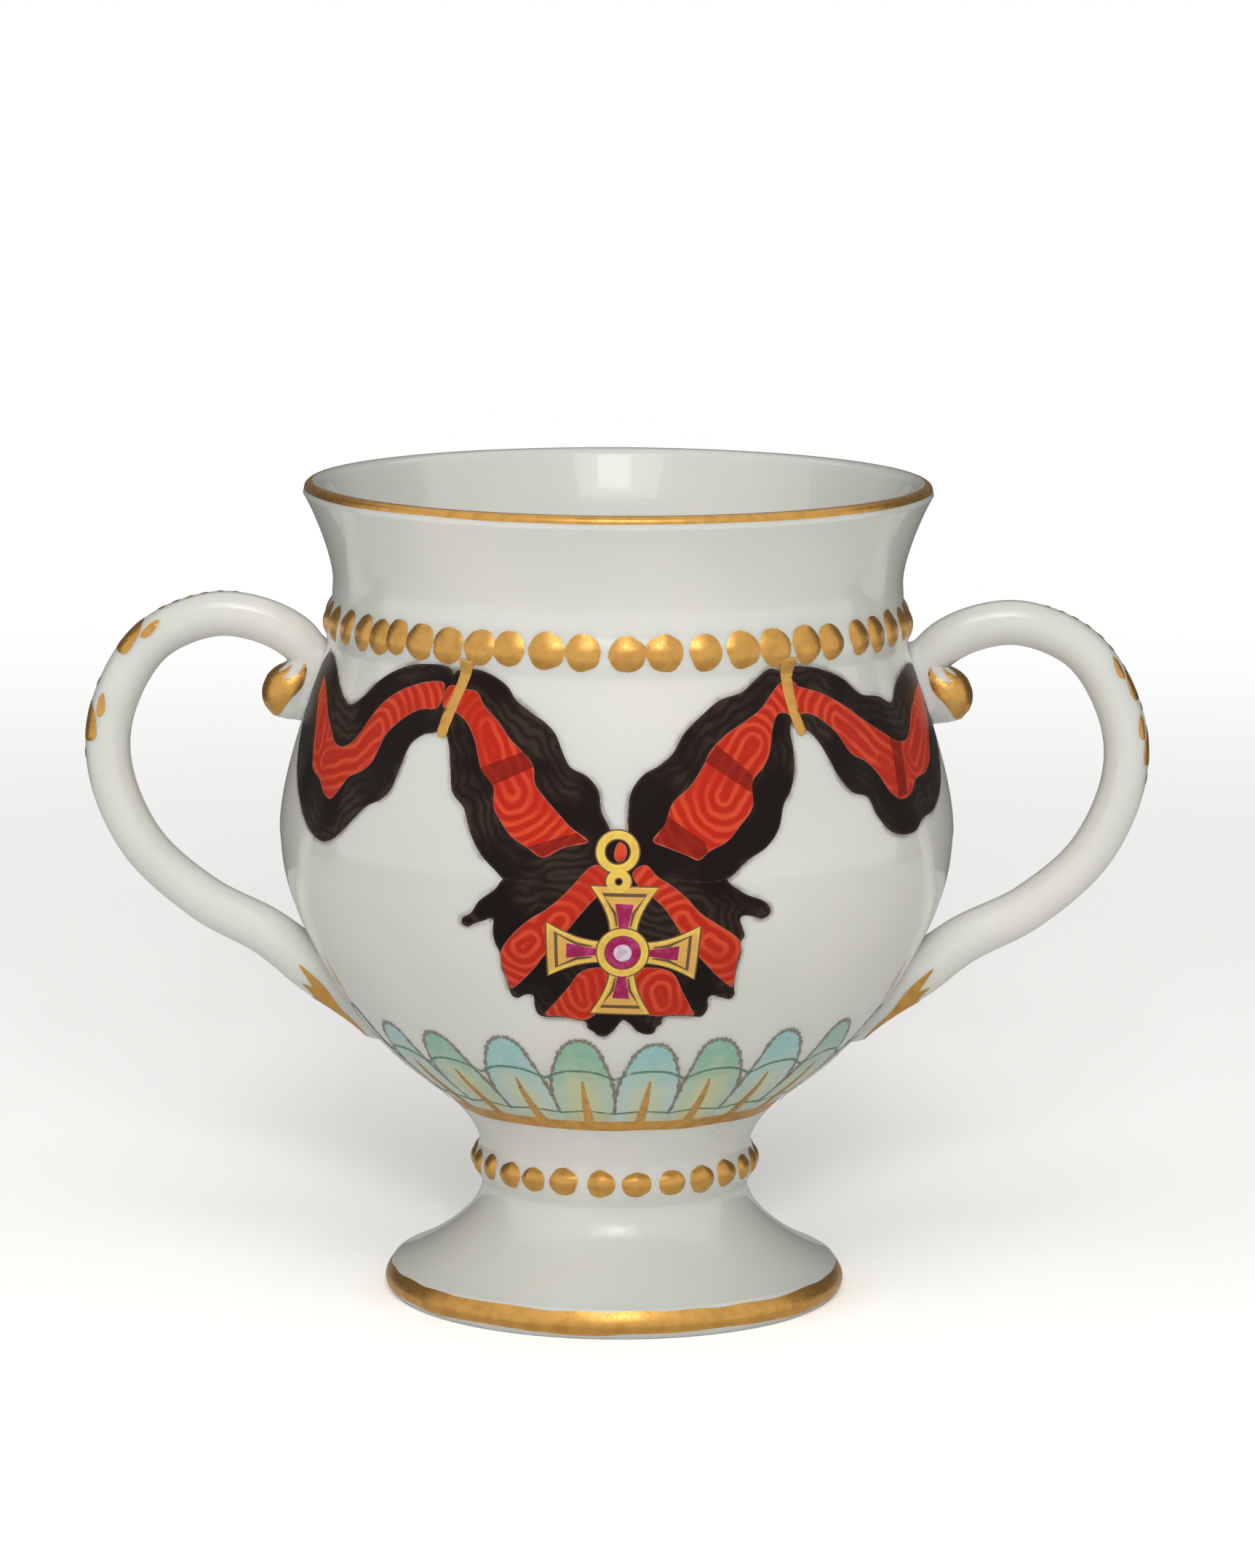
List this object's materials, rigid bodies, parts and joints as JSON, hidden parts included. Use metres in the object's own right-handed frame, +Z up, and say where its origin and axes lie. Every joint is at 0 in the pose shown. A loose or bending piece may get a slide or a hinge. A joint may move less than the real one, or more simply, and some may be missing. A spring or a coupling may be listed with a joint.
{
  "type": "two-handled porcelain cup",
  "caption": "Footed porcelain cup with two looped side handles, gilt lines and beads, and a painted ribbon with a pendant cross.",
  "frame": {"origin": "centre of the footprint on the table, under the cup's axis", "axes": "+Z up along the axis of the cup, +X towards the right handle, -Y towards the painted front"},
  "size_m": [0.1042, 0.0662, 0.0805],
  "materials": {
    "glazed_porcelain": "clear glaze over hard white porcelain, painted in overglaze enamel",
    "fired_gilding": "fired and burnished gilding with brush marks"
  },
  "bodies": {
    "root": {"foot": "glazed_porcelain", "bowl": "glazed_porcelain", "handle_right": "glazed_porcelain", "handle_left": "glazed_porcelain", "foot_gilding": "fired_gilding", "waist_gilding": "fired_gilding", "lip_gilding": "fired_gilding"}
  },
  "joints": []
}
